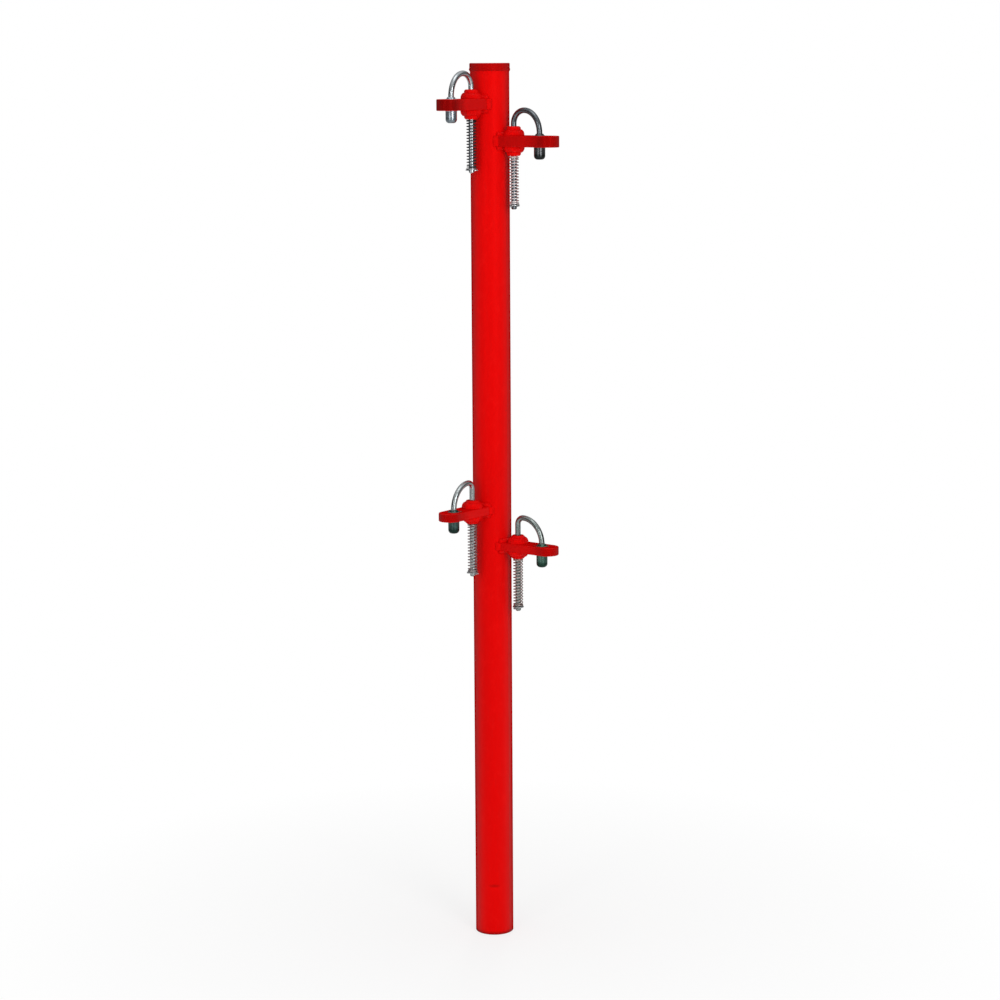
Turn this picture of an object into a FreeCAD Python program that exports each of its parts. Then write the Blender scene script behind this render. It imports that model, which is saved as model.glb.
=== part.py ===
import FreeCAD, Part
import math
import os

from FreeCAD import Vector

# Drive-in corner post for livestock panels: a steel tube with a struck cap on top and four welded
# lugs. Each lug carries a spring-held drop pin, bent to an arch, whose bullet-nosed lock stands in
# the lug's outer hole.
#
# Frame: millimetres, +Z up, origin at the centre of the tube's open foot. Right lugs point along
# +X and left lugs along -Y, so the two panels meet at a right angle.
#
# The pieces of a lug are built in the lug's own frame: the post's axis is Z, the lug points along
# +X, and z = 0 is the middle of its plate. They are then turned and raised into place.

Z_AXIS = Vector(0, 0, 1)
Y_AXIS = Vector(0, 1, 0)

# ---------------------------------------------------------------- post
POST_OD = 88.9              # 3 1/2 inch tube
POST_WALL = 5.5
POST_TOP = 2032.0           # 80 inches, to the top of the cap
FOOT_CHAMFER = 0.8
CAP_D = 91.0
CAP_T = 12.7                # 1/2 inch plate
CAP_EDGE_R = 2.5            # rounded upper rim
TUBE_TOP = POST_TOP - CAP_T

# ---------------------------------------------------------------- lugs
# What the two lugs of a level share. Distances from the post's axis:
#   guide, crown, lock   sleeve, crown of the pin's arch, lock
# Other sizes:
#   thick         plate thickness
#   guide_half    half length of the sleeve
#   fall          height of the arch's long slope, from the crown down to the short leg
#   tip           lower end of the pin's long leg, from the plate's middle
UPPER = {"thick": 25.4, "guide": 67.5, "guide_half": 33.0, "crown": 97.0, "fall": 50.0,
         "lock": 139.5, "tip": -152.5}
LOWER = {"thick": 19.05, "guide": 74.5, "guide_half": 27.0, "crown": 90.0, "fall": 57.0,
         "lock": 143.0, "tip": -150.5}

LEFT_TURN = -90.0           # degrees about +Z
RIGHT_TURN = 0.0

# height is that of the plate's middle, end is the centre of the plate's round end from the post's
# axis. The four bars are cut by hand and differ by a few millimetres.
LUGS = {
    "upper_left": dict(UPPER, turn=LEFT_TURN, height=1941.0, end=151.5),
    "upper_right": dict(UPPER, turn=RIGHT_TURN, height=1859.0, end=162.5),
    "lower_left": dict(LOWER, turn=LEFT_TURN, height=1018.5, end=157.0),
    "lower_right": dict(LOWER, turn=RIGHT_TURN, height=934.0, end=159.0),
}

LUG_W = 50.8                # 2 inch flat bar
LUG_EDGE_R = 2.0            # rolled edge
LOCK_HOLE_D = 27.4
LOCK_HOLE_CHAMFER = 0.8
CUT_MARGIN = 5.0            # how far the straight cutters pass the plate's faces
HOLE_FLARE = 1.0            # how far the chamfered cutter runs on past the faces, at 45 degrees

GUIDE_OD = 32.0             # sleeve for the long leg
GUIDE_BORE = 12.88          # running fit on the rod
GUIDE_EDGE = 3.0            # outer chamfer
GUIDE_MOUTH = 1.0           # bore chamfer

# ---------------------------------------------------------------- pin and lock
ROD_D = 12.7                # 1/2 inch round bar
ROD_TIP_CHAMFER = 2.0
ROD_SHORT_END = -18.0       # end of the short leg, inside the lock
ARCH_TOP = 68.5             # crown of the arch, middle of the bar
SLOPE_STEPS = 16            # spans in the arch's long quarter oval
DRILL_L = 60.0              # cutter for the split pin's hole, centred on the rod

LOCK_D = 25.4               # free end
LOCK_GUIDE_D = 26.6         # thicker length that stands in the lug's hole
LOCK_GUIDE_CHAMFER = 1.6    # at its upper rim
LOCK_PROUD = 1.0            # thicker length beyond the plate, above and below
LOCK_NOSE = -31.5           # where the bullet nose starts
LOCK_BOTTOM = -40.0
LOCK_NOSE_FLAT_R = 5.0
NOSE_STEPS = 8              # spans in the nose's quarter oval

# ---------------------------------------------------------------- washer and split pin
WASHER_OD = 25.4
WASHER_ID = 13.6
WASHER_T = 2.5
WASHER_CHAMFER = 0.4

SPLIT_FROM_TIP = 6.5        # middle of the split pin, above the end of the long leg
SPLIT_D = 3.2
SPLIT_HOLE_D = 4.0
SPLIT_HALF = 9.6            # straight shank, each side of the rod's axis
SPLIT_EYE_R = 3.1           # eye, to the middle of its wire
SPLIT_WIRE_R = 1.2          # radius of the eye's wire
SPLIT_EYE_OVERLAP = 0.6     # the eye's centreline reaches this far into the shank
SPLIT_LEG_R = SPLIT_WIRE_R * 0.92
SPLIT_LEG_L = 6.5
SPLIT_LEG_SPREAD = 40.0     # degrees each leg opens from the shank's line
SPLIT_LEG_OFFSET = 0.45     # start of each leg, sideways from the shank's axis
SPLIT_LEG_INSET = 0.9       # start of each leg, back from the shank's end

# ---------------------------------------------------------------- spring
SPRING_WIRE_D = 2.3
SPRING_OD = 23.0
SPRING_TURNS = 18.0
SPRING_DEAD = 1.5           # closed turns at each end
SPRING_FADE = 0.5           # turns over which the pitch opens
SPRING_CLOSE_PITCH = SPRING_WIRE_D * 1.06
SPRING_GAP = 0.02           # clearance to the sleeve above and to the washer below
POINTS_PER_TURN = 16
STEPS_PER_POINT = 8         # steps in summing the rise between two points


# ---------------------------------------------------------------- helpers
def cylinder(radius, bottom, top, x=0.0):
    """Upright cylinder about the axis through (x, 0)."""
    return Part.makeCylinder(radius, top - bottom, Vector(x, 0, bottom), Z_AXIS)


def profile_points(outline, axis_x):
    """Points in the XZ plane from (radius, height) about an upright axis."""
    return [Vector(axis_x + radius, 0, z) for radius, z in outline]


def profile_lines(outline, axis_x):
    """Straight edges joining the points of an open outline."""
    points = profile_points(outline, axis_x)
    return [Part.makeLine(start, end) for start, end in zip(points, points[1:])]


def revolve_wire(wire, axis_x):
    return Part.Face(wire).revolve(Vector(axis_x, 0, 0), Z_AXIS, 360)


def revolve(outline, axis_x=0.0):
    """Solid of revolution from an outline of (radius, height), closed back to its first point."""
    points = profile_points(outline, axis_x)
    return revolve_wire(Part.makePolygon(points + points[:1]), axis_x)


def sweep_circle(path, radius, start, normal, frenet):
    """Solid round bar along a wire."""
    ring = Part.Wire(Part.makeCircle(radius, start, normal))
    bar = path.makePipeShell([ring], True, frenet)
    # the sweep may come back as a closed shell
    return bar if bar.ShapeType == "Solid" else Part.makeSolid(bar)


def split_height(lug):
    """Height of the split pin's axis."""
    return lug["tip"] + SPLIT_FROM_TIP


def washer_bottom(lug):
    """The washer rests on the split pin."""
    return split_height(lug) + SPLIT_D / 2


# ---------------------------------------------------------------- post pieces
def post_tube():
    outer = POST_OD / 2
    inner = outer - POST_WALL
    return revolve([(inner, 0), (outer - FOOT_CHAMFER, 0), (outer, FOOT_CHAMFER),
                    (outer, TUBE_TOP), (inner, TUBE_TOP)])


def top_cap():
    """Disc on the tube with its upper rim rounded."""
    disc = cylinder(CAP_D / 2, TUBE_TOP, POST_TOP)
    upper_rim = [edge for edge in disc.Edges
                 if len(edge.Vertexes) == 1 and abs(edge.Vertexes[0].Z - POST_TOP) < 1e-6]
    return disc.makeFillet(CAP_EDGE_R, upper_rim)


# ---------------------------------------------------------------- lug pieces
def lug_plate(lug):
    """Flat bar with a full-round end, coped to the tube, with the sleeve's and the lock's holes."""
    half = lug["thick"] / 2
    bar = Part.makeBox(lug["end"], LUG_W, lug["thick"], Vector(0, -LUG_W / 2, -half))
    round_end = cylinder(LUG_W / 2, -half, half, lug["end"])
    plate = bar.fuse(round_end).removeSplitter()

    # every edge of the two flat faces, except those across the bar on the post's axis
    rims = []
    for edge in plate.Edges:
        heights = [vertex.Z for vertex in edge.Vertexes]
        level = max(heights) - min(heights) < 1e-6
        on_face = abs(abs(heights[0]) - half) < 1e-6
        if level and on_face and max(vertex.X for vertex in edge.Vertexes) > 1e-6:
            rims.append(edge)
    plate = plate.makeFillet(LUG_EDGE_R, rims)

    reach = half + CUT_MARGIN
    plate = plate.cut(cylinder(POST_OD / 2, -reach, reach))
    plate = plate.cut(cylinder(GUIDE_OD / 2, -reach, reach, lug["guide"]))

    radius = LOCK_HOLE_D / 2
    mouth = radius + LOCK_HOLE_CHAMFER
    inset = half - LOCK_HOLE_CHAMFER
    flare = mouth + HOLE_FLARE
    beyond = half + HOLE_FLARE
    lock_hole = revolve([(0, -beyond), (flare, -beyond), (mouth, -half), (radius, -inset),
                         (radius, inset), (mouth, half), (flare, beyond), (0, beyond)],
                        lug["lock"])
    return plate.cut(lock_hole)


def guide_sleeve(lug):
    outer, bore, half = GUIDE_OD / 2, GUIDE_BORE / 2, lug["guide_half"]
    rim, mouth = outer - GUIDE_EDGE, bore + GUIDE_MOUTH
    return revolve([(bore, -half + GUIDE_MOUTH), (mouth, -half), (rim, -half),
                    (outer, -half + GUIDE_EDGE), (outer, half - GUIDE_EDGE), (rim, half),
                    (mouth, half), (bore, half - GUIDE_MOUTH)],
                   lug["guide"])


def rod_arch(lug, long_top, short_top):
    """A tight quarter circle over the long leg, then a longer quarter oval down to the lock."""
    guide, crown = lug["guide"], lug["crown"]
    bend = crown - guide
    run = lug["lock"] - crown
    diagonal = bend * math.sqrt(0.5)
    start = Vector(guide, 0, long_top)
    tight = Part.Arc(start, Vector(crown - diagonal, 0, long_top + diagonal),
                     Vector(crown, 0, ARCH_TOP))
    points = []
    for i in range(SLOPE_STEPS + 1):
        angle = math.radians(90.0 * i / SLOPE_STEPS)
        points.append(Vector(crown + run * math.sin(angle), 0,
                             short_top + lug["fall"] * math.cos(angle)))
    slope = Part.BSplineCurve()
    slope.interpolate(points, InitialTangent=Vector(1, 0, 0), FinalTangent=Vector(0, 0, -1))
    path = Part.Wire([tight.toShape(), slope.toShape()])
    return sweep_circle(path, ROD_D / 2, start, Z_AXIS, False)


def pin_rod(lug):
    """Round bar bent to an arch, with the split pin's hole near the end of the long leg."""
    radius, guide, tip = ROD_D / 2, lug["guide"], lug["tip"]
    long_top = ARCH_TOP - (lug["crown"] - guide)
    short_top = ARCH_TOP - lug["fall"]
    long_leg = revolve([(0, tip), (radius - ROD_TIP_CHAMFER, tip),
                        (radius, tip + ROD_TIP_CHAMFER), (radius, long_top), (0, long_top)],
                       guide)
    short_leg = cylinder(radius, ROD_SHORT_END, short_top, lug["lock"])
    rod = long_leg.fuse(rod_arch(lug, long_top, short_top)).fuse(short_leg)
    # the split pin lies on the floor of its wider hole
    hole_height = split_height(lug) + (SPLIT_HOLE_D - SPLIT_D) / 2
    hole = Part.makeCylinder(SPLIT_HOLE_D / 2, DRILL_L,
                             Vector(guide, -DRILL_L / 2, hole_height), Y_AXIS)
    return rod.cut(hole)


def lock_plug(lug):
    """Turned lock on the short leg: blind bore, thicker length, free end and bullet nose."""
    axis = lug["lock"]
    bore, thicker, free = ROD_D / 2, LOCK_GUIDE_D / 2, LOCK_D / 2
    crest = lug["thick"] / 2 + LOCK_PROUD
    side = [(bore, crest), (thicker - LOCK_GUIDE_CHAMFER, crest),
            (thicker, crest - LOCK_GUIDE_CHAMFER), (thicker, -crest),
            (free, -crest - (thicker - free)), (free, LOCK_NOSE)]
    nose = []
    for i in range(NOSE_STEPS + 1):
        angle = math.radians(90.0 * i / NOSE_STEPS)
        nose.append((free - (free - LOCK_NOSE_FLAT_R) * (1 - math.cos(angle)),
                     LOCK_NOSE + (LOCK_BOTTOM - LOCK_NOSE) * math.sin(angle)))
    curve = Part.BSplineCurve()
    curve.interpolate(profile_points(nose, axis),
                      InitialTangent=Vector(0, 0, -1), FinalTangent=Vector(-1, 0, 0))
    bottom_and_bore = [(LOCK_NOSE_FLAT_R, LOCK_BOTTOM), (0, LOCK_BOTTOM), (0, ROD_SHORT_END),
                       (bore, ROD_SHORT_END), (bore, crest)]
    edges = profile_lines(side, axis) + [curve.toShape()] + profile_lines(bottom_and_bore, axis)
    return revolve_wire(Part.Wire(edges), axis)


def spring_washer(lug):
    """Flat washer under the spring, chamfered at its outer rims."""
    outer, inner = WASHER_OD / 2, WASHER_ID / 2
    bottom = washer_bottom(lug)
    top = bottom + WASHER_T
    return revolve([(inner, bottom), (outer - WASHER_CHAMFER, bottom),
                    (outer, bottom + WASHER_CHAMFER), (outer, top - WASHER_CHAMFER),
                    (outer - WASHER_CHAMFER, top), (inner, top)],
                   lug["guide"])


def split_pin(lug):
    """Shank through the rod, a flat-lying eye on its -Y end, two legs bent apart on its +Y end."""
    x, z = lug["guide"], split_height(lug)
    shank = Part.makeCylinder(SPLIT_D / 2, 2 * SPLIT_HALF, Vector(x, -SPLIT_HALF, z), Y_AXIS)
    eye_y = -SPLIT_HALF - SPLIT_EYE_R + SPLIT_EYE_OVERLAP
    pin = shank.fuse(Part.makeTorus(SPLIT_EYE_R, SPLIT_WIRE_R, Vector(x, eye_y, z), Z_AXIS))
    spread = math.radians(SPLIT_LEG_SPREAD)
    for side in (1, -1):
        # the legs open sideways, so nothing stands up into the washer
        direction = Vector(side * math.sin(spread), math.cos(spread), 0)
        start = Vector(x + side * SPLIT_LEG_OFFSET, SPLIT_HALF - SPLIT_LEG_INSET, z)
        pin = pin.fuse(Part.makeCylinder(SPLIT_LEG_R, SPLIT_LEG_L, start, direction))
    return pin


def spring_heights(length):
    """Rise of each path point above the first, with closed turns at both ends."""
    live_turns = SPRING_TURNS - 2 * SPRING_DEAD
    live_pitch = (length - 2 * SPRING_DEAD * SPRING_CLOSE_PITCH) / live_turns

    def pitch_at(turn):
        from_end = min(turn, SPRING_TURNS - turn)
        opened = (from_end - (SPRING_DEAD - SPRING_FADE / 2)) / SPRING_FADE
        opened = min(1.0, max(0.0, opened))
        eased = opened * opened * (3 - 2 * opened)
        return SPRING_CLOSE_PITCH + (live_pitch - SPRING_CLOSE_PITCH) * eased

    heights, height = [0.0], 0.0
    for i in range(int(SPRING_TURNS * POINTS_PER_TURN)):
        for j in range(STEPS_PER_POINT):
            turn = (i + (j + 0.5) / STEPS_PER_POINT) / POINTS_PER_TURN
            height += pitch_at(turn) / (STEPS_PER_POINT * POINTS_PER_TURN)
        heights.append(height)
    scale = length / heights[-1]
    return [height * scale for height in heights]


def spring(lug):
    """Compression spring about the long leg, between the sleeve's foot and the washer."""
    wire_r = SPRING_WIRE_D / 2
    coil_r = (SPRING_OD - SPRING_WIRE_D) / 2
    first = washer_bottom(lug) + WASHER_T + SPRING_GAP + wire_r
    last = -lug["guide_half"] - SPRING_GAP - wire_r
    points = []
    for i, height in enumerate(spring_heights(last - first)):
        angle = 2 * math.pi * i / POINTS_PER_TURN
        points.append(Vector(lug["guide"] + coil_r * math.cos(angle),
                             coil_r * math.sin(angle), first + height))
    curve = Part.BSplineCurve()
    curve.interpolate(points)
    edge = curve.toShape()
    tangent = edge.tangentAt(edge.FirstParameter)
    return sweep_circle(Part.Wire(edge), wire_r, points[0], tangent, True)


# ---------------------------------------------------------------- assembly and export
POST_PIECES = (post_tube, top_cap)
LUG_PIECES = (lug_plate, guide_sleeve, pin_rod, lock_plug, spring, spring_washer, split_pin)


def single_solid(shape, name):
    """The one valid solid of a shape, with its seams merged."""
    shape = shape.removeSplitter()
    if len(shape.Solids) != 1:
        raise ValueError("%s has %d solids" % (name, len(shape.Solids)))
    body = shape.Solids[0]
    if not body.isValid():
        raise ValueError("%s is not a valid solid" % name)
    return body


def placed(shape, lug):
    """Copy of a lug's piece, turned and raised from the lug's frame to the post."""
    piece = shape.copy()
    piece.rotate(Vector(0, 0, 0), Z_AXIS, lug["turn"])
    piece.translate(Vector(0, 0, lug["height"]))
    return piece


def export(shape, name):
    shape.exportStep(os.path.join("parts", name + ".step"))


def main():
    os.makedirs("parts", exist_ok=True)
    for make in POST_PIECES:
        name = make.__name__
        export(single_solid(make(), name), name)
    for make in LUG_PIECES:
        for place, lug in LUGS.items():
            name = place + "_" + make.__name__
            export(placed(single_solid(make(lug), name), lug), name)


main()
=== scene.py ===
"""A red enamelled round post with a cap and four lugs.

The post stands on z = 0 along the z axis, and each lug points out along x or y. A lug carries a guide
sleeve and a pin with a rod, a lock plug, a coil spring, a washer and a split pin. The frame brings these
pieces; this script adds the coiled springs, the welds, the materials and the stage.
"""
import math
import random

import bmesh
import bpy
import numpy as np
from mathutils import Matrix, Vector

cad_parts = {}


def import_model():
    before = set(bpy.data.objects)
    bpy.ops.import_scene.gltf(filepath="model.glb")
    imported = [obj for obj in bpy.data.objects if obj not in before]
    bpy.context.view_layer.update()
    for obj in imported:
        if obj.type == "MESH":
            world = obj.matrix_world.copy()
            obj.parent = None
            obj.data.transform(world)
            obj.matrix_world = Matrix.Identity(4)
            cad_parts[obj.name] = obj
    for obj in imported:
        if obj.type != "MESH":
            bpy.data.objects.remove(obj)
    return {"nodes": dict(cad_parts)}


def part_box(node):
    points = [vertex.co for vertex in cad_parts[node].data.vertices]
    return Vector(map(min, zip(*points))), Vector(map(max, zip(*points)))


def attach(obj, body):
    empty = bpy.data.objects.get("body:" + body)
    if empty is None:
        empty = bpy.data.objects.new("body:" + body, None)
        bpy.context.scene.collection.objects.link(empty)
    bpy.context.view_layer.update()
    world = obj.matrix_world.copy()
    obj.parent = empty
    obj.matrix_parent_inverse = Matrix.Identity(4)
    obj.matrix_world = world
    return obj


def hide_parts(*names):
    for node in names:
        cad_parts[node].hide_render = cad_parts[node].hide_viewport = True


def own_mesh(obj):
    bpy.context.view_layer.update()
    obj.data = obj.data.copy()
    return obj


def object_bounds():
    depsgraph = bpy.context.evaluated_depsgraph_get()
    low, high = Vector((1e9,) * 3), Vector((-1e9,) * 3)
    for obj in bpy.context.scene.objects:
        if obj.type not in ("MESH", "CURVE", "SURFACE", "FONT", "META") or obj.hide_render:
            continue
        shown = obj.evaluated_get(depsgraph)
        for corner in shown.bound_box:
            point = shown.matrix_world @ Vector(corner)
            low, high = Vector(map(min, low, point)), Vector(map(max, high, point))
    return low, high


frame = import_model()
cad_lo, cad_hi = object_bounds()
random.seed(7)

MM = 0.001
NODES = frame["nodes"]
UP = np.array([0, 0, 1.0])
CAMERA_TURN = 37.7  # degrees about z, from -y towards +x


# ------------------------------------------------------------------ sizes read from the frame
def box(node):
    lo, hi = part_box(node)
    return np.array(lo), np.array(hi)


def centre(piece):
    return (piece[0] + piece[1]) / 2


def span(piece, axis):
    return abs((piece[1] - piece[0]) @ axis)


tube_lo, tube_hi = box("post_tube")
TUBE_R = (tube_hi[0] - tube_lo[0]) / 2
CAP_BOTTOM = float(box("top_cap")[0][2])


class Level:
    """One lug and its pin. In its local frame u points out along the lug, v lies across it, and z
    is up from the plate's middle."""

    def __init__(self, name):
        self.name = name
        plate, guide, lock, washer, spring, rod = (
            box(f"{name}_{part}") for part in
            ("lug_plate", "guide_sleeve", "lock_plug", "spring_washer", "spring", "pin_rod"))
        middle = centre(plate)
        axis = np.array([1.0, 0, 0]) if abs(middle[0]) > abs(middle[1]) else np.array([0, 1.0, 0])
        self.u = axis * (1.0 if middle @ axis > 0 else -1.0)
        self.v = np.cross(UP, self.u)
        self.z = middle[2]
        self.half_thick = (plate[1][2] - plate[0][2]) / 2
        self.width = span(plate, self.v)
        self.guide_at = abs(centre(guide) @ self.u)
        self.guide_r = span(guide, self.v) / 2
        self.guide_half = (guide[1][2] - guide[0][2]) / 2
        self.lock_at = abs(centre(lock) @ self.u)
        self.lock_bottom, self.lock_top = lock[0][2] - self.z, lock[1][2] - self.z
        self.rod_r = span(rod, self.v) / 2
        self.washer_top = washer[1][2] - self.z
        self.spring_bottom, self.spring_top = spring[0][2] - self.z, spring[1][2] - self.z
        self.spring_r = span(spring, self.v) / 2

    def at(self, points):
        """Local (u, v, z) points in the post's frame."""
        points = np.asarray(points, float)
        return points[:, :1] * self.u + points[:, 1:2] * self.v + (points[:, 2:3] + self.z) * UP

    def on_axis(self, reach, z):
        """One point on the lug's middle plane, in the post's frame."""
        return self.at([[reach, 0, z]])[0]


LEVELS = [Level(name) for name in ("upper_left", "upper_right", "lower_left", "lower_right")]


def around(degrees, distance, z):
    """A point about the post, turned from the camera's side."""
    angle = math.radians(CAMERA_TURN) + math.radians(degrees)
    return math.sin(angle) * distance, -math.cos(angle) * distance, z


# ------------------------------------------------------------------ mesh helpers
def shade_smooth(mesh):
    mesh.polygons.foreach_set("use_smooth", [True] * len(mesh.polygons))


def mesh_object(name, verts, faces, smooth=True):
    mesh = bpy.data.meshes.new(name)
    mesh.from_pydata([tuple(map(float, p)) for p in verts], [], [tuple(f) for f in faces])
    mesh.validate()
    mesh.update()
    if smooth:
        shade_smooth(mesh)
    ob = bpy.data.objects.new(name, mesh)
    bpy.context.scene.collection.objects.link(ob)
    return ob


def fix_normals(ob):
    bm = bmesh.new()
    bm.from_mesh(ob.data)
    bmesh.ops.recalc_face_normals(bm, faces=bm.faces)
    bm.to_mesh(ob.data)
    bm.free()
    ob.data.update()
    return ob


def loft(name, rings, closed_path=False):
    """Skin over equal-length closed rings of points, capped where the path is open."""
    count, sides = len(rings), len(rings[0])
    verts = [p for ring in rings for p in ring]
    faces = []
    for i in range(count if closed_path else count - 1):
        here, after = i * sides, ((i + 1) % count) * sides
        for j in range(sides):
            k = (j + 1) % sides
            faces.append((here + j, here + k, after + k, after + j))
    if not closed_path:
        faces.append(tuple(range(sides - 1, -1, -1)))
        faces.append(tuple(range((count - 1) * sides, count * sides)))
    return fix_normals(mesh_object(name, verts, faces))


def joined(name, objects):
    """Several meshes as one object."""
    verts, faces = [], []
    for ob in objects:
        base = len(verts)
        verts += [tuple(v.co) for v in ob.data.vertices]
        faces += [tuple(base + i for i in p.vertices) for p in ob.data.polygons]
    out = mesh_object(name, verts, faces)
    for ob in objects:
        mesh = ob.data
        bpy.data.objects.remove(ob)
        bpy.data.meshes.remove(mesh)
    return out


def set_material(ob, material):
    ob.data.materials.clear()
    ob.data.materials.append(material)


# ------------------------------------------------------------------ shader graph helper
class Graph:
    """Wires shader nodes in an emptied tree. Every input may be a value or another node's socket."""

    def __init__(self, owner):
        owner.use_nodes = True
        self.tree = owner.node_tree
        self.tree.nodes.clear()

    def put(self, socket, value):
        if isinstance(value, bpy.types.NodeSocket):
            self.tree.links.new(value, socket)
        elif isinstance(value, tuple) and len(value) == 3 and socket.type == "RGBA":
            socket.default_value = (*value, 1)
        else:
            socket.default_value = value

    def add(self, kind, inputs=None, **settings):
        node = self.tree.nodes.new("ShaderNode" + kind)
        for key, value in settings.items():
            setattr(node, key, value)
        for key, value in (inputs or {}).items():
            if value is not None:
                self.put(node.inputs[key], value)
        return node

    def math(self, op, a, b=None):
        return self.add("Math", {0: a, 1: b}, operation=op).outputs[0]

    def vector(self, op, a, b=None):
        node = self.add("VectorMath", {0: a, 1: b}, operation=op)
        scalar = op in ("DOT_PRODUCT", "DISTANCE", "LENGTH")
        return node.outputs["Value" if scalar else "Vector"]

    def position(self):
        return self.add("TexCoord").outputs["Object"]

    def coords(self):
        return self.add("Mapping", {"Vector": self.position()}).outputs[0]

    def split(self, vec):
        return self.add("SeparateXYZ", {0: vec}).outputs

    def noise(self, vec, scale, detail, rough, distortion=0.0):
        return self.add("TexNoise", {"Vector": vec, "Scale": scale, "Detail": detail,
                                     "Roughness": rough, "Distortion": distortion}).outputs["Fac"]

    def voronoi(self, vec, scale, out="Distance"):
        return self.add("TexVoronoi", {"Vector": vec, "Scale": scale}).outputs[out]

    def band(self, value, lo, hi):
        """0 at lo and 1 at hi; lo may be the larger."""
        return self.add("MapRange", {"Value": value, "From Min": lo, "From Max": hi}).outputs[0]

    def mix(self, fac, a, b):
        return self.add("Mix", {0: fac, 6: a, 7: b}, data_type="RGBA").outputs[2]

    def mixf(self, fac, a, b):
        return self.add("Mix", {0: fac, 2: a, 3: b}, data_type="FLOAT").outputs[0]

    def mix_shader(self, fac, a, b):
        return self.add("MixShader", {0: fac, 1: a, 2: b}).outputs[0]

    def stain(self, base, colour, where, amount):
        """Lays a colour over the base, up to the given amount."""
        return self.mix(self.math("MULTIPLY", where, amount), base, colour)

    def add_part(self, value, extra, gain):
        return self.math("ADD", value, self.math("MULTIPLY", extra, gain))

    def fray(self, value, noise, width):
        """Spreads a value either way by noise."""
        return self.add_part(value, self.math("SUBTRACT", noise, 0.5), width)

    def bump(self, height, strength, distance, normal=None):
        return self.add("Bump", {"Strength": strength, "Distance": distance, "Height": height,
                                 "Normal": normal}).outputs[0]

    def edge_mask(self, radius, lo, hi):
        """1 on sharp outside and inside corners, 0 on faces."""
        bevel = self.add("Bevel", {"Radius": radius}, samples=6).outputs[0]
        flat = self.add("NewGeometry").outputs["Normal"]
        dot = self.vector("DOT_PRODUCT", bevel, flat)
        return self.band(self.math("SUBTRACT", 1.0, dot), lo, hi)

    def near(self, point, full, gone):
        """1 within `full` metres of a point, fading to 0 at `gone`."""
        return self.band(self.vector("DISTANCE", self.position(), point), gone, full)

    def principled(self, **inputs):
        named = {key.replace("_", " "): value for key, value in inputs.items()}
        self.output("Material", self.add("BsdfPrincipled", named).outputs[0])

    def output(self, kind, shader):
        self.add("Output" + kind, {0: shader})


# ------------------------------------------------------------------ red enamel
RED = (0.775, 0.0022, 0.0020)
RED_DEEP = (0.56, 0.0020, 0.0018)
RED_BRIGHT = (0.86, 0.010, 0.008)
RED_AGED = (0.30, 0.0015, 0.0012)
# painted shade for upright faces, which take less light
RED_SIDE_SHADE = (0.30, 0.0016, 0.0014)
# painted shade for the lug's rounded free end
RED_TIP_SHADE = (0.14, 0.0012, 0.0010)
# painted shade where the surface turns away from the eye
RED_GRAZE_SHADE = (0.27, 0.0014, 0.0012)
RED_RUBBED = (0.52, 0.012, 0.010)
RED_SMUDGE = (0.22, 0.004, 0.003)
RED_FOOT_BAND = (0.20, 0.006, 0.004)
PRIMER = (0.20, 0.012, 0.008)
BARE = (0.33, 0.31, 0.29)
SCALE_DARK, SCALE_PALE = (0.040, 0.036, 0.036), (0.075, 0.060, 0.052)
BORE_RUST = (0.19, 0.072, 0.026)


def paint_side_shade(g, tone, vec, cloud, side_dark, tip_dark):
    """Paints shade on the upright faces, as if they were lit less from above, and, with tip_dark, on the
    free end of the lug.
    """
    normal_z = g.split(g.add("NewGeometry").outputs["Normal"])["Z"]
    side = g.band(g.math("ABSOLUTE", normal_z), lo=0.8, hi=0.3)
    rows = g.noise(g.vector("MULTIPLY", vec, (1.0, 1.0, 0.10)), scale=330.0, detail=4, rough=0.6)
    # an even share of the painted shade, plus a share in upright streaks
    even, streaked = side_dark * 0.6, side_dark * 0.9
    amount = g.math("MULTIPLY", side, g.add_part(even, rows, streaked))
    tone = g.mix(amount, tone, RED_SIDE_SHADE)
    if tip_dark:
        # painted shade on the lug's rounded free end, which turns away from the light
        reach = g.vector("LENGTH", g.vector("MULTIPLY", g.coords(), (1.0, 1.0, 0.0)))
        tip_shade_zone = g.band(g.fray(reach, cloud, width=0.02), lo=0.120, hi=0.158)
        # three quarters of it on upright faces only, the rest everywhere
        on_sides, everywhere = 0.75 * tip_dark, 0.25 * tip_dark
        spread = g.math("ADD", g.math("MULTIPLY", side, on_sides), everywhere)
        tone = g.mix(g.math("MULTIPLY", tip_shade_zone, spread), tone, RED_TIP_SHADE)
    return tone


def smudge_mask(g, cloud, point, across, tall):
    """1 in the middle of a soft ellipsoid about a point."""
    offset = g.vector("SUBTRACT", g.coords(), point)
    size = g.vector("LENGTH", g.vector("MULTIPLY", offset, (1 / across, 1 / across, 1 / tall)))
    return g.band(g.fray(size, cloud, width=0.5), lo=1.15, hi=0.25)


def foot_mask(g, vec, height):
    """1 just above the post's lower end, with a ragged upper edge."""
    z = g.split(g.coords())["Z"]
    ragged = g.fray(z, g.noise(vec, scale=120.0, detail=5, rough=0.65), width=height)
    return g.band(ragged, lo=height, hi=height * 0.25)


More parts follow.
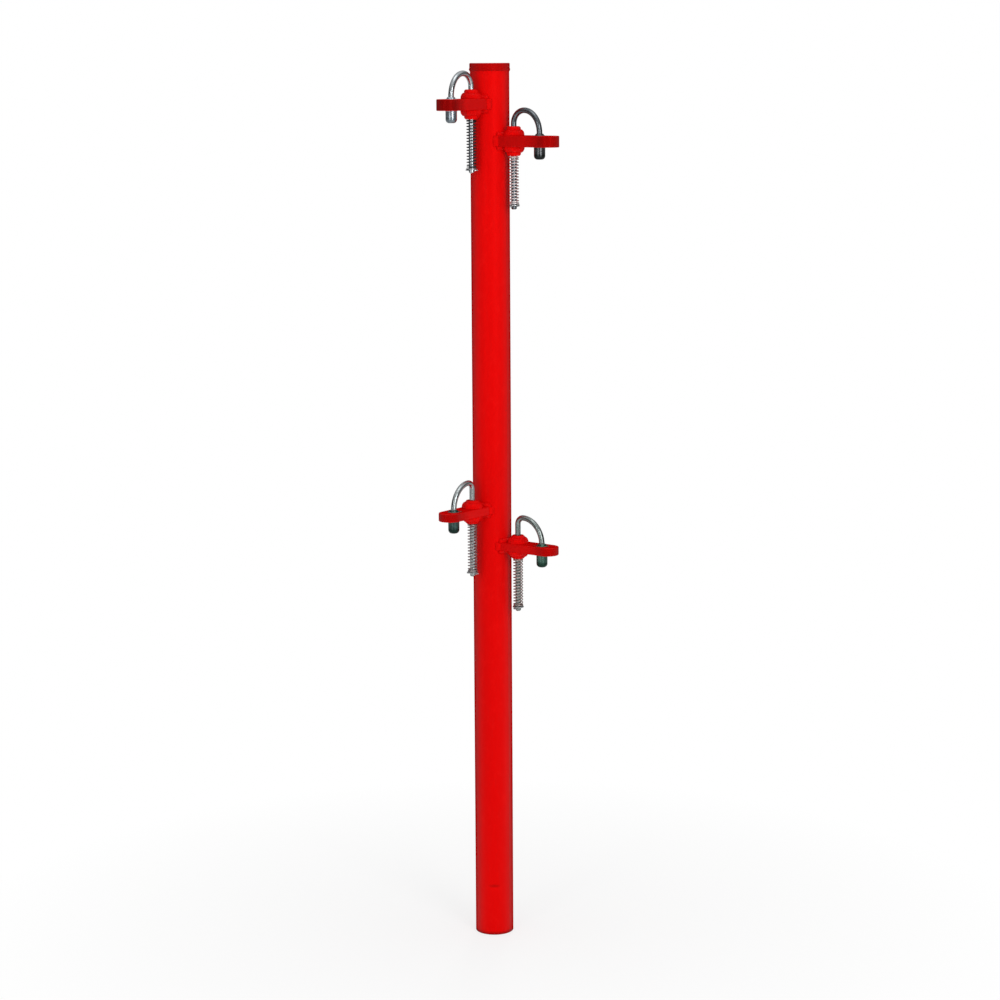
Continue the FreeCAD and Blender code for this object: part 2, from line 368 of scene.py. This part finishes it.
def paint_loss(g, vec, breakup, wear, edge_radius, chips):
    """How far the paint is gone: at edges, in specks and in chips about given points."""
    edge = g.edge_mask(edge_radius, lo=0.02, hi=0.25)
    edge_wear = g.math("MULTIPLY", edge,
                       g.band(breakup(), lo=0.60 - 0.18 * wear, hi=0.70 - 0.14 * wear))
    speck = g.band(g.noise(vec, scale=145.0, detail=3, rough=0.5),
                   lo=0.765 - 0.03 * wear, hi=0.785 - 0.03 * wear)
    edge_share = min(1.0, 0.4 + wear)
    loss = g.math("MAXIMUM", g.math("MULTIPLY", edge_wear, edge_share),
                  g.math("MULTIPLY", speck, wear))
    for point, full, gone in chips:
        near = g.near(point, full, gone)
        flakes = g.band(g.noise(vec, scale=300.0, detail=4, rough=0.6), lo=0.50, hi=0.60)
        loss = g.math("MAXIMUM", loss, g.math("MULTIPLY", near, flakes))
    return loss


def raw_bore(g, colour, vec, cloud, breakup, bore):
    """No paint inside the tube: mill scale with a bloom of rust. Gives colour and mask."""
    axes = g.split(g.coords())
    radius = g.math("SQRT", g.math("ADD", g.math("POWER", axes["X"], 2.0),
                                   g.math("POWER", axes["Y"], 2.0)))
    raw = g.band(g.fray(radius, breakup, width=0.0014), lo=bore - 1.6 * MM, hi=bore - 2.4 * MM)
    scale = g.mix(g.band(cloud, lo=0.35, hi=0.65), SCALE_DARK, SCALE_PALE)
    rust = g.band(g.noise(vec, scale=70.0, detail=6, rough=0.7), lo=0.50, hi=0.66)
    return g.mix(raw, colour, g.mix(rust, scale, BORE_RUST)), raw


def red_paint(name, wear, rough, edge_radius, scuff, seed=0.0, graze=0.50, dark=0.0, side_dark=0.0,
              tip_dark=0.0, chips=(), bore=None, smudge=None, foot=None):
    """Gloss enamel with slow tone drift, orange peel, dust nibs, scuffs and edge wear, and painted shade
    on upright faces, on the lug's free end and where it turns from the eye.
    """
    material = bpy.data.materials.new(name)
    g = Graph(material)
    vec = g.vector("ADD", g.coords(), (seed, seed * 1.7, seed * 0.6))
    long_vec = g.vector("MULTIPLY", vec, (1.0, 1.0, 0.16))  # draws features out upwards

    drift = g.noise(long_vec, scale=9.0, detail=3, rough=0.5)
    cloud = g.noise(vec, scale=55.0, detail=4, rough=0.55)
    tone = g.mix(g.band(drift, lo=0.35, hi=0.7), RED_DEEP, RED)
    tone = g.mix(fac=0.62, a=tone, b=RED)
    tone = g.stain(tone, RED_BRIGHT, g.band(cloud, lo=0.55, hi=0.8), amount=0.22)
    if dark:
        tone = g.mix(dark, tone, RED_AGED)
    # painted shade on the upright faces, and on the lug's free end
    if side_dark:
        tone = paint_side_shade(g, tone, vec, cloud, side_dark, tip_dark)
    # painted shade: the paint is drawn deeper where it turns away from the eye, and its specular is
    # lowered there
    facing = g.add("LayerWeight", {"Blend": 0.5}).outputs["Facing"]
    turn = g.band(facing, lo=0.25, hi=0.66)
    tone = g.stain(tone, RED_GRAZE_SHADE, turn, graze)
    # rubbed streaks along the post
    streak = g.noise(long_vec, scale=210.0, detail=5, rough=0.6, distortion=0.3)
    rub = g.math("MULTIPLY", g.band(streak, lo=0.56, hi=0.72), scuff)
    tone = g.stain(tone, RED_RUBBED, rub, amount=0.55)
    if smudge:
        mask = smudge_mask(g, cloud, smudge["point"], smudge["across"], smudge["tall"])
        tone = g.stain(tone, RED_SMUDGE, mask, smudge["amount"])
    # a darker band just above the foot
    if foot:
        tone = g.stain(tone, RED_FOOT_BAND, foot_mask(g, vec, foot), amount=0.75)

    # chips: bare steel ringed by primer
    breakup = g.noise(vec, scale=420.0, detail=4, rough=0.65)
    loss = paint_loss(g, vec, lambda: breakup, wear, edge_radius, chips)
    primer = g.band(loss, lo=0.10, hi=0.35)
    bare = g.band(loss, lo=0.55, hi=0.80)
    colour = g.mix(bare, g.mix(primer, tone, PRIMER), BARE)
    if bore:
        colour, raw = raw_bore(g, colour, vec, cloud, breakup, bore)

    # gloss is lower where rubbed, and varies in soft patches
    gloss = g.mixf(g.band(cloud, lo=0.3, hi=0.75), rough - 0.05, rough + 0.07)
    gloss = g.add_part(gloss, rub, gain=0.25)
    gloss = g.mixf(primer, a=gloss, b=0.62)
    if bore:
        gloss = g.mixf(raw, a=gloss, b=0.74)

    # relief: orange peel and nibs, sunk where the top coat is gone
    peel = g.noise(vec, scale=520.0, detail=2, rough=0.45)
    nib = g.band(g.voronoi(vec, scale=260.0), lo=0.10, hi=0.03)
    height = g.add_part(peel, nib, gain=0.35)
    primer_depth = 0.9
    height = g.math("SUBTRACT", height, g.math("MULTIPLY", primer, primer_depth))
    normal = g.bump(height, strength=0.22, distance=0.00035)
    fine = g.bump(g.noise(long_vec, scale=900.0, detail=3, rough=0.6),
                  strength=0.06, distance=0.0002, normal=normal)
    bare_metallic = 0.85
    g.principled(Base_Color=colour, Roughness=gloss, Normal=fine,
                 Metallic=g.math("MULTIPLY", bare, bare_metallic),
                 Specular_IOR_Level=g.mixf(turn, a=0.36, b=0.0),
                 Specular_Tint=(1.0, 0.02, 0.02), Coat_Weight=0.0)
    return material


# ------------------------------------------------------------------ steel
STEEL_RUST = (0.16, 0.055, 0.018)


def steel(name, base, deep, rough, seed, grain=(1, 1, 0.06), spangle=0.4, tarnish=0.4, bump=0.12,
          rust=0.0, nose=None):
    """Plated or drawn steel: drawing lines, cloudy passivation, dull spots, a little rust.

    `nose` is the height of the piece's lower end and the colour it is drawn darker to there: a painted
    dark reflection.
    """
    material = bpy.data.materials.new(name)
    g = Graph(material)
    vec = g.vector("ADD", g.coords(), (seed, seed * 2.3, seed * 0.4))
    lines = g.noise(g.vector("MULTIPLY", vec, grain), scale=1500.0, detail=4, rough=0.6)
    cloud = g.noise(vec, scale=95.0, detail=5, rough=0.6, distortion=0.6)
    fleck = g.add("RGBToBW", {0: g.voronoi(vec, scale=420.0, out="Color")}).outputs[0]
    colour = g.mix(g.band(cloud, lo=0.32, hi=0.68), base, deep)
    brighter = tuple(min(1.0, x * 1.45) for x in base)
    colour = g.stain(colour, brighter, fleck, amount=0.35 * spangle)
    spots = g.noise(vec, scale=230.0, detail=4, rough=0.65)
    dull = g.math("MULTIPLY", g.band(spots, lo=0.56, hi=0.70), tarnish)
    colour = g.mix(dull, colour, tuple(x * 0.5 for x in deep))
    metallic = 1.0
    if rust:
        blotch = g.band(g.noise(vec, scale=120.0, detail=6, rough=0.7), lo=0.60, hi=0.68)
        blotch = g.math("MULTIPLY", blotch, rust)
        colour = g.mix(blotch, colour, STEEL_RUST)
        metallic = g.mixf(blotch, a=metallic, b=0.15)
    # painted reflection: the lower end drawn darker, as a shiny end mirroring the dark below
    if nose:
        bottom, nose_colour = nose
        edge = g.fray(g.split(g.coords())["Z"], cloud, width=0.004)
        mask = g.band(edge, lo=bottom + 0.015, hi=bottom + 0.009)
        colour = g.stain(colour, nose_colour, mask, amount=0.85)
    gloss = g.mixf(g.band(cloud, lo=0.3, hi=0.7), rough, rough + 0.10)
    gloss = g.add_part(gloss, dull, gain=0.22)
    gloss = g.fray(gloss, lines, width=0.25)
    height = g.add_part(lines, cloud, gain=0.7)
    g.principled(Base_Color=colour, Roughness=gloss, Metallic=metallic,
                 Normal=g.bump(height, bump, distance=0.0003))
    return material


# ------------------------------------------------------------------ materials of this post
# For each level: base and deep colours of rod, lock and spring, each the same steel painted lighter or
# darker for how the light falls at that level, the colour of the painted shade at the lock's nose, how
# much painted shade the lug's sides and free end get, and how much painted shade its paint gets at a
# grazing view.
LOOKS = {
    "upper_left": dict(
        rod=((0.52, 0.55, 0.57), (0.30, 0.335, 0.35)),
        lock=((0.46, 0.52, 0.58), (0.22, 0.26, 0.29)), nose=(0.20, 0.24, 0.265),
        spring=((0.115, 0.125, 0.135), (0.048, 0.053, 0.060)),
        side_dark=0.30, tip_dark=0.85, graze=0.08),
    "upper_right": dict(
        rod=((0.17, 0.185, 0.20), (0.085, 0.097, 0.108)),
        lock=((0.125, 0.130, 0.135), (0.048, 0.054, 0.057)), nose=(0.014, 0.018, 0.018),
        spring=((0.95, 0.85, 0.845), (0.74, 0.65, 0.645)),
        side_dark=0.48, tip_dark=0.52, graze=0.30),
    "lower_left": dict(
        rod=((0.50, 0.535, 0.54), (0.29, 0.325, 0.33)),
        lock=((0.090, 0.155, 0.145), (0.032, 0.062, 0.056)), nose=(0.012, 0.028, 0.022),
        spring=((0.52, 0.48, 0.485), (0.32, 0.295, 0.30)),
        side_dark=0.01, tip_dark=0.62, graze=0.08),
    "lower_right": dict(
        rod=((0.33, 0.365, 0.355), (0.18, 0.21, 0.20)),
        lock=((0.105, 0.205, 0.160), (0.042, 0.095, 0.072)), nose=(0.010, 0.034, 0.022),
        spring=((0.56, 0.48, 0.455), (0.34, 0.285, 0.265)),
        side_dark=0.20, tip_dark=0.50, graze=0.30),
}


def level_steels(prefix, part, first_seed, **look):
    """One steel per level, in that level's colours for the part: the same steel painted lighter or
    darker for how the light falls at that level.
    """
    return {level.name: steel(prefix + level.name, *LOOKS[level.name][part],
                              seed=first_seed + k, **look)
            for k, level in enumerate(LEVELS)}


mat_post = red_paint("red_enamel_post", bore=TUBE_R, foot=9 * MM, wear=0.22, rough=0.40,
                     edge_radius=1.0 * MM, scuff=0.30,
                     smudge=dict(point=around(0, TUBE_R, z=0.120), across=15 * MM,
                                 tall=4.5 * MM, amount=0.45))
mat_cap = red_paint("red_enamel_cap", side_dark=0.5, wear=0.7, dark=0.40, rough=0.46, seed=3.1,
                    edge_radius=1.8 * MM, scuff=0.6)
mat_weld = red_paint("red_enamel_weld", wear=0.10, graze=0.05, rough=0.42, seed=5.2,
                     edge_radius=0.4 * MM, scuff=0.1)
mat_rods = level_steels("zinc_plated_rod_", "rod", first_seed=1.0, rough=0.17, tarnish=0.22,
                        spangle=0.12, bump=0.035)
# each level's lock is the same zinc plug, painted lighter or darker for how the light falls at that
# level, with a painted dark reflection at its nose
mat_locks = {}
for k, level in enumerate(LEVELS):
    look = LOOKS[level.name]
    mat_locks[level.name] = steel(
        "dark_zinc_lock_" + level.name, *look["lock"], rough=0.24, grain=(0.08, 0.08, 1),
        tarnish=0.35, seed=2.0 + k, spangle=0.15, bump=0.06,
        nose=(level.z + level.lock_bottom, look["nose"]))
mat_springs = level_steels("spring_wire_", "spring", first_seed=4.0, rough=0.33, tarnish=0.5,
                           spangle=0.2, rust=0.18)
mat_washer = steel("zinc_washer", (0.45, 0.46, 0.47), (0.26, 0.27, 0.28), rough=0.30,
                   grain=(1, 1, 1), seed=6.0)
mat_split = steel("split_pin_steel", (0.42, 0.43, 0.44), (0.22, 0.23, 0.24), rough=0.28, seed=8.0)


def chip_pair(level, reach, z, full, gone_top, gone_bottom):
    """Chips about the upper and lower mouths of a hole in the lug."""
    return [(tuple(level.on_axis(reach, z)), full, gone_top),
            (tuple(level.on_axis(reach, -z)), full, gone_bottom)]


def dress_level(level, i):
    """Materials of one level's frame pieces."""
    name, look = level.name, LOOKS[level.name]
    mat_lug = red_paint(
        "red_enamel_lug_" + name, side_dark=look["side_dark"], tip_dark=look["tip_dark"],
        graze=look["graze"], wear=0.55, rough=0.38, seed=11.0 + 3.7 * i, edge_radius=1.6 * MM,
        scuff=0.45, chips=chip_pair(level, level.lock_at, level.half_thick,
                                    full=0.013, gone_top=0.026, gone_bottom=0.021))
    mat_guide = red_paint(
        "red_enamel_sleeve_" + name, graze=0.05, wear=0.45, rough=0.38, seed=23.0 + 2.9 * i,
        edge_radius=1.3 * MM, scuff=0.3,
        chips=chip_pair(level, level.guide_at, level.guide_half,
                        full=0.007, gone_top=0.013, gone_bottom=0.012))
    for part, material in (("lug_plate", mat_lug), ("guide_sleeve", mat_guide),
                           ("pin_rod", mat_rods[name]), ("lock_plug", mat_locks[name]),
                           ("spring_washer", mat_washer), ("split_pin", mat_split)):
        set_material(NODES[f"{name}_{part}"], material)


for node in NODES.values():
    shade_smooth(node.data)
set_material(NODES["post_tube"], mat_post)
set_material(NODES["top_cap"], mat_cap)
for i, level in enumerate(LEVELS):
    dress_level(level, i)


# ------------------------------------------------------------------ springs
WIRE_R = 1.15 * MM
WIRE_SIDES = 14
TURNS = 18.0
DEAD_TURNS = 1.5  # closed turns at each end
FADE_TURNS = 0.5  # over which the pitch opens
STEPS_PER_TURN = 40
CLOSED_PITCH = 2 * WIRE_R * 1.04
GROUND_TURNS = 0.75  # ground flat at each end
GROUND_DEPTH = 0.55  # taken off at the tip, in wire radii


def coil_heights(rise):
    """Heights of the wire's centre line from its lower end, over the given rise."""
    pitch = (rise - 2 * DEAD_TURNS * CLOSED_PITCH) / (TURNS - 2 * DEAD_TURNS)
    heights = [0.0]
    for i in range(int(TURNS * STEPS_PER_TURN)):
        turn = (i + 0.5) / STEPS_PER_TURN
        from_end = min(turn, TURNS - turn)
        k = min(1.0, max(0.0, (from_end - (DEAD_TURNS - FADE_TURNS / 2)) / FADE_TURNS))
        k = k * k * (3 - 2 * k)
        heights.append(heights[-1] + (CLOSED_PITCH + (pitch - CLOSED_PITCH) * k) / STEPS_PER_TURN)
    scale = rise / heights[-1]
    return [h * scale for h in heights]


def wire_ring(point, tangent, coil_r, turn):
    """Section of the wire at a point of its centre line, ground flat near either end."""
    out = np.array([point[0], point[1], 0]) / coil_r
    up = np.cross(out, tangent)
    up /= np.linalg.norm(up)
    up = up if up[2] > 0 else -up
    angles = [2 * math.pi * j / WIRE_SIDES for j in range(WIRE_SIDES)]
    ring = np.array([point + out * WIRE_R * math.cos(a) + up * WIRE_R * math.sin(a)
                     for a in angles])
    from_end = min(turn, TURNS - turn)
    if from_end < GROUND_TURNS:
        cut = WIRE_R * (1 - from_end / GROUND_TURNS) * GROUND_DEPTH
        if turn < TURNS / 2:
            ring[:, 2] = np.maximum(ring[:, 2], point[2] - WIRE_R + cut)
        else:
            ring[:, 2] = np.minimum(ring[:, 2], point[2] + WIRE_R - cut)
    return ring


def coil_spring(level):
    """Closed-end compression spring with ground end coils, on the guide sleeve's axis."""
    coil_r = level.spring_r - WIRE_R
    heights = coil_heights(level.spring_top - level.spring_bottom - 2 * WIRE_R)
    turns = [i / STEPS_PER_TURN for i in range(len(heights))]
    line = np.array([[coil_r * math.cos(2 * math.pi * turn), coil_r * math.sin(2 * math.pi * turn),
                      level.spring_bottom + WIRE_R + h] for turn, h in zip(turns, heights)])
    tangents = np.gradient(line, axis=0)
    tangents /= np.linalg.norm(tangents, axis=1)[:, None]
    axis_shift = np.array([level.guide_at, 0, 0])
    rings = [level.at(wire_ring(point, tangent, coil_r, turn) + axis_shift)
             for point, tangent, turn in zip(line, tangents, turns)]
    ob = loft(level.name + "_coil_spring", rings)
    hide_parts(level.name + "_spring")
    set_material(ob, mat_springs[level.name])
    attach(ob, "post")
    anchor = level.on_axis(level.guide_at, -level.guide_half)
    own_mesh(ob)


# ------------------------------------------------------------------ welds
BEAD_ARC = 11  # points across the bead's face
WOBBLE, WOBBLE_RATE = 0.07, 260  # slow change of size, and its rate per metre
END_SIZE, END_RUN = 0.25, 0.45  # size at an open end, and the run to full size in legs
CRESCENT_LAG = 0.55  # how far ripples lag at the toes, in ripples
CREST, CREST_MEAN, CREST_POWER = 0.085, 0.4, 1.6  # ripple height, its level, its sharpness
BULGE = 0.12 / 0.70  # extra size at the middle of the face
FACE_POWER, CHORD_POWER = 1.15, 0.35  # roundness of the face
BURIED = 0.55  # where the buried side starts along each leg


def wobble(x, seed):
    """Smooth repeatable wobble between about -1 and 1."""
    return (math.sin(x * 1.7 + seed * 2.1) + math.sin(x * 4.3 + seed * 5.7) * 0.6
            + math.sin(x * 9.1 + seed * 3.3) * 0.35) / 1.6


def weld_bead(name, path, leg_u, leg_v, seed, ripple, closed=False, sink=0.6 * MM):
    """A rippled fillet weld along a corner path.

    The path is its points and, at each, two directions: u leads out along one surface and v along
    the other. A leg is one length, or one for each point.
    """
    points, us, vs = map(np.asarray, path)
    leg_u, leg_v = (np.broadcast_to(leg, len(points)) for leg in (leg_u, leg_v))
    steps = np.linalg.norm(np.roll(points, -1, 0) - points, axis=1)
    along = np.concatenate([[0], np.cumsum(steps)[:-1]])
    total = along[-1] + (steps[-1] if closed else 0)
    if closed:
        ripple = total / max(8, round(total / ripple))
    rings = []
    for point, u, v, s, lu, lv in zip(points, us, vs, along, leg_u, leg_v):
        end = 1.0
        if not closed:
            e = min(1.0, min(s, total - s) / (END_RUN * lu + 1e-9))
            end = END_SIZE + (1 - END_SIZE) * math.sqrt(max(0.0, 1 - (1 - e) ** 2))
        size = (1 + WOBBLE * wobble(s * WOBBLE_RATE, seed)) * end
        ring = []
        for j in range(BEAD_ARC):
            t = j / (BEAD_ARC - 1)
            angle = t * math.pi / 2
            # crescents: the ripple lags behind at the toes of the bead
            phase = (s / ripple + CRESCENT_LAG * (2 * t - 1) ** 2) % 1.0
            middle = math.sin(t * math.pi)
            crest = 1 + CREST * ((1 - phase) ** CREST_POWER - CREST_MEAN) * middle
            cu, cv = math.cos(angle) ** FACE_POWER, math.sin(angle) ** FACE_POWER
            grow = (1 + BULGE * middle) * crest * size / max(cu + cv, 1.0) ** CHORD_POWER
            ring.append(point + u * lu * cu * grow + v * lv * cv * grow)
        # the buried side of the bead, just under both surfaces
        ring.append(point + v * lv * BURIED * end - u * sink)
        ring.append(point - u * sink - v * sink)
        ring.append(point + u * lu * BURIED * end - v * sink)
        rings.append(ring)
    return loft(name, rings, closed_path=closed)


def full_turn(steps):
    return [2 * math.pi * i / steps for i in range(steps)]


def round_path(middle, radius, angles, u, v, side=1.0):
    """Path about an upright axis; angles run from u to v, and side is 1 up or -1 down."""
    outs = [u * math.cos(a) + v * math.sin(a) for a in angles]
    return [middle + out * radius for out in outs], outs, [side * UP] * len(outs)


def guide_bead(level, side, seed):
    """Ring fillet between sleeve and plate, narrower towards the tube."""
    angles = full_turn(260)
    path = round_path(level.on_axis(level.guide_at, side * level.half_thick), level.guide_r,
                      angles, level.u, level.v, side)
    reach = min(10.5 * MM, level.width / 2 - level.guide_r - 1.3 * MM)
    gap = min(reach, level.guide_at - level.guide_r - TUBE_R - 0.5 * MM)
    near_tube = np.array([max(0.0, -math.cos(a)) ** 1.5 for a in angles])
    return weld_bead("bead", path, reach + (gap - reach) * near_tube,
                     (12.5 - 2.0 * near_tube) * MM, seed, ripple=3.0 * MM, closed=True)


def plate_bead(level, side, half_angle, seed):
    """Fillet along the curved line where the plate's face meets the tube."""
    steps = 150
    angles = [-half_angle + 2 * half_angle * i / (steps - 1) for i in range(steps)]
    path = round_path(level.on_axis(0, side * level.half_thick), TUBE_R, angles,
                      level.u, level.v, side)
    return weld_bead("bead", path, 6.5 * MM, 7.5 * MM, seed, ripple=2.8 * MM)


def edge_bead(level, side, half_angle, seed):
    """Upright fillet where the plate's edge meets the tube."""
    steps = 44
    angle = side * half_angle
    base = (level.u * math.cos(angle) + level.v * math.sin(angle)) * TUBE_R
    tangent = (-level.u * math.sin(angle) + level.v * math.cos(angle)) * side
    bottom, height = level.z - level.half_thick, 2 * level.half_thick
    points = [base + UP * (bottom + height * i / (steps - 1)) for i in range(steps)]
    return weld_bead("bead", (points, [level.u] * steps, [tangent] * steps),
                     7.0 * MM, 7.0 * MM, seed, ripple=2.6 * MM)


def lug_weld(level, seed):
    """All the fillets of sleeve, plate and tube, as one object."""
    half_angle = math.asin(level.width / 2 / TUBE_R)
    pieces = []
    for k, side in enumerate((1.0, -1.0)):
        pieces.append(guide_bead(level, side, seed + k))
        pieces.append(plate_bead(level, side, half_angle, seed + 3 + k))
        pieces.append(edge_bead(level, side, half_angle, seed + 6 + k))
    ob = joined(level.name + "_lug_weld", pieces)
    set_material(ob, mat_weld)
    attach(ob, "post")


def lock_weld(level, seed):
    """Ring of weld where the rod enters the lock."""
    path = round_path(level.on_axis(level.lock_at, level.lock_top), level.rod_r, full_turn(120),
                      level.u, level.v)
    ob = weld_bead(level.name + "_lock_weld", path, 3.4 * MM, 3.6 * MM, seed,
                   ripple=1.5 * MM, closed=True, sink=0.3 * MM)
    set_material(ob, mat_locks[level.name])
    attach(ob, level.name + "_pin")


def cap_weld():
    """Weld run under the cap's rim."""
    path = round_path(UP * CAP_BOTTOM, TUBE_R, full_turn(620),
                      np.array([1.0, 0, 0]), np.array([0, 1.0, 0]), side=-1.0)
    ob = weld_bead("cap_weld", path, 1.9 * MM, 5.0 * MM, seed=31.0, ripple=3.2 * MM, closed=True)
    set_material(ob, mat_cap)
    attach(ob, "post")


for i, level in enumerate(LEVELS):
    weld_seed = 2.0 + 13.0 * i
    coil_spring(level)
    lug_weld(level, weld_seed)
    lock_weld(level, weld_seed + 9)
cap_weld()


# ------------------------------------------------------------------ stage
WHITE = (1, 1, 1)
FLOOR_HALF = 30.0
FLOOR_DROP = 0.0006
FLOOR_GLOW = 0.74  # share of plain white in the floor at the post; it is all white far off
WORLD_FILL = 0.46


def stage_floor():
    """Pale floor that fades into the white surround."""
    s = FLOOR_HALF
    ob = mesh_object("floor", [(-s, -s, 0), (s, -s, 0), (s, s, 0), (-s, s, 0)], [(0, 1, 2, 3)],
                     smooth=False)
    ob.location.z = -FLOOR_DROP
    material = bpy.data.materials.new("pale_floor")
    g = Graph(material)
    pale = g.add("BsdfDiffuse", {"Color": (0.95, 0.95, 0.95)}).outputs[0]
    white = g.add("Emission", {"Color": WHITE}).outputs[0]
    distance = g.vector("LENGTH", g.position())
    camera_ray = g.add("LightPath").outputs["Is Camera Ray"]
    far = g.band(distance, lo=0.10, hi=1.30)
    glow = g.add_part(FLOOR_GLOW, far, gain=1 - FLOOR_GLOW)
    surface = g.mix_shader(g.math("MULTIPLY", glow, camera_ray), pale, white)
    # seen from underneath the floor is clear, so the open foot and the lugs' undersides can be
    # looked at, and just under the foot it lets light up into the tube's bore
    backfacing = g.add("NewGeometry").outputs["Backfacing"]
    under_foot = g.math("MULTIPLY", g.math("LESS_THAN", distance, TUBE_R + 2 * MM),
                        g.math("SUBTRACT", 1.0, camera_ray))
    see_through = g.math("MAXIMUM", backfacing, under_foot)
    clear = g.add("BsdfTransparent").outputs[0]
    g.output("Material", g.mix_shader(see_through, surface, clear))
    set_material(ob, material)


def world():
    """White to the eye, softer for fill light, and mostly dark with a bright ceiling in
    reflections."""
    studio = bpy.data.worlds.new("studio")
    bpy.context.scene.world = studio
    g = Graph(studio)

    def background(strength):
        return g.add("Background", {"Color": WHITE, "Strength": strength}).outputs[0]

    z = g.split(g.add("TexCoord").outputs["Generated"])["Z"]
    ceiling = g.add("MapRange", {"Value": z, "From Min": 0.25, "From Max": 0.75,
                                 "To Min": 0.09, "To Max": 0.75},
                    interpolation_type="SMOOTHSTEP").outputs[0]
    rays = g.add("LightPath").outputs
    unseen = g.mix_shader(rays["Is Glossy Ray"], background(WORLD_FILL), background(ceiling))
    g.output("World", g.mix_shader(rays["Is Camera Ray"], unseen, background(1.0)))


def camera():
    """Long lens level with the top of the post, looking slightly down."""
    turn = math.radians(CAMERA_TURN)
    pitch, yaw, roll = math.radians(9.68), math.radians(0.1782), math.radians(0.320)
    flat = Matrix.Rotation(-yaw, 3, "Z") @ Vector((-math.sin(turn), math.cos(turn), 0))
    forward = flat * math.cos(pitch) - Vector((0, 0, 1)) * math.sin(pitch)
    right = forward.cross(Vector((0, 0, 1))).normalized()
    up = right.cross(forward)
    tilt = Matrix.Rotation(roll, 3, forward)
    data = bpy.data.cameras.new("camera")
    data.sensor_width = 36.0
    data.lens = 92.25
    data.clip_start, data.clip_end = 0.05, 120
    ob = bpy.data.objects.new("camera", data)
    bpy.context.scene.collection.objects.link(ob)
    matrix = Matrix((tilt @ right, tilt @ up, -forward)).transposed().to_4x4()
    matrix.translation = around(0, 5.8434, z=float(cad_hi[2]))
    ob.matrix_world = matrix
    bpy.context.scene.camera = ob


# name, place (degrees from the camera's side, distance, height), height aimed at on the post's
# axis, width, length, watts
LIGHTS = (
    ("key", (26, 3.8, 2.15), 0.95, 1.3, 2.8, 61),
    ("fill", (-30, 4.4, 1.9), 1.0, 0.9, 2.8, 30),
    ("top", (10, 0.9, 4.2), 1.4, 1.6, 1.6, 13),
    ("back", (172, 3.4, 3.0), 1.2, 0.8, 2.6, 22),
)


def area_light(name, place, aim_z, width, length, power):
    data = bpy.data.lights.new(name, "AREA")
    data.shape = "RECTANGLE"
    data.size, data.size_y = width, length
    data.energy = power
    ob = bpy.data.objects.new(name, data)
    bpy.context.scene.collection.objects.link(ob)
    ob.location = around(*place)
    ob.rotation_mode = "QUATERNION"
    aim = Vector((0, 0, aim_z)) - Vector(around(*place))
    ob.rotation_quaternion = aim.to_track_quat("-Z", "Y")
    return ob


stage_floor()
world()
camera()
lights = {light[0]: area_light(*light) for light in LIGHTS}
lights["back"].visible_glossy = False

bpy.context.scene.view_settings.view_transform = "Standard"
bpy.context.scene.view_settings.look = "None"
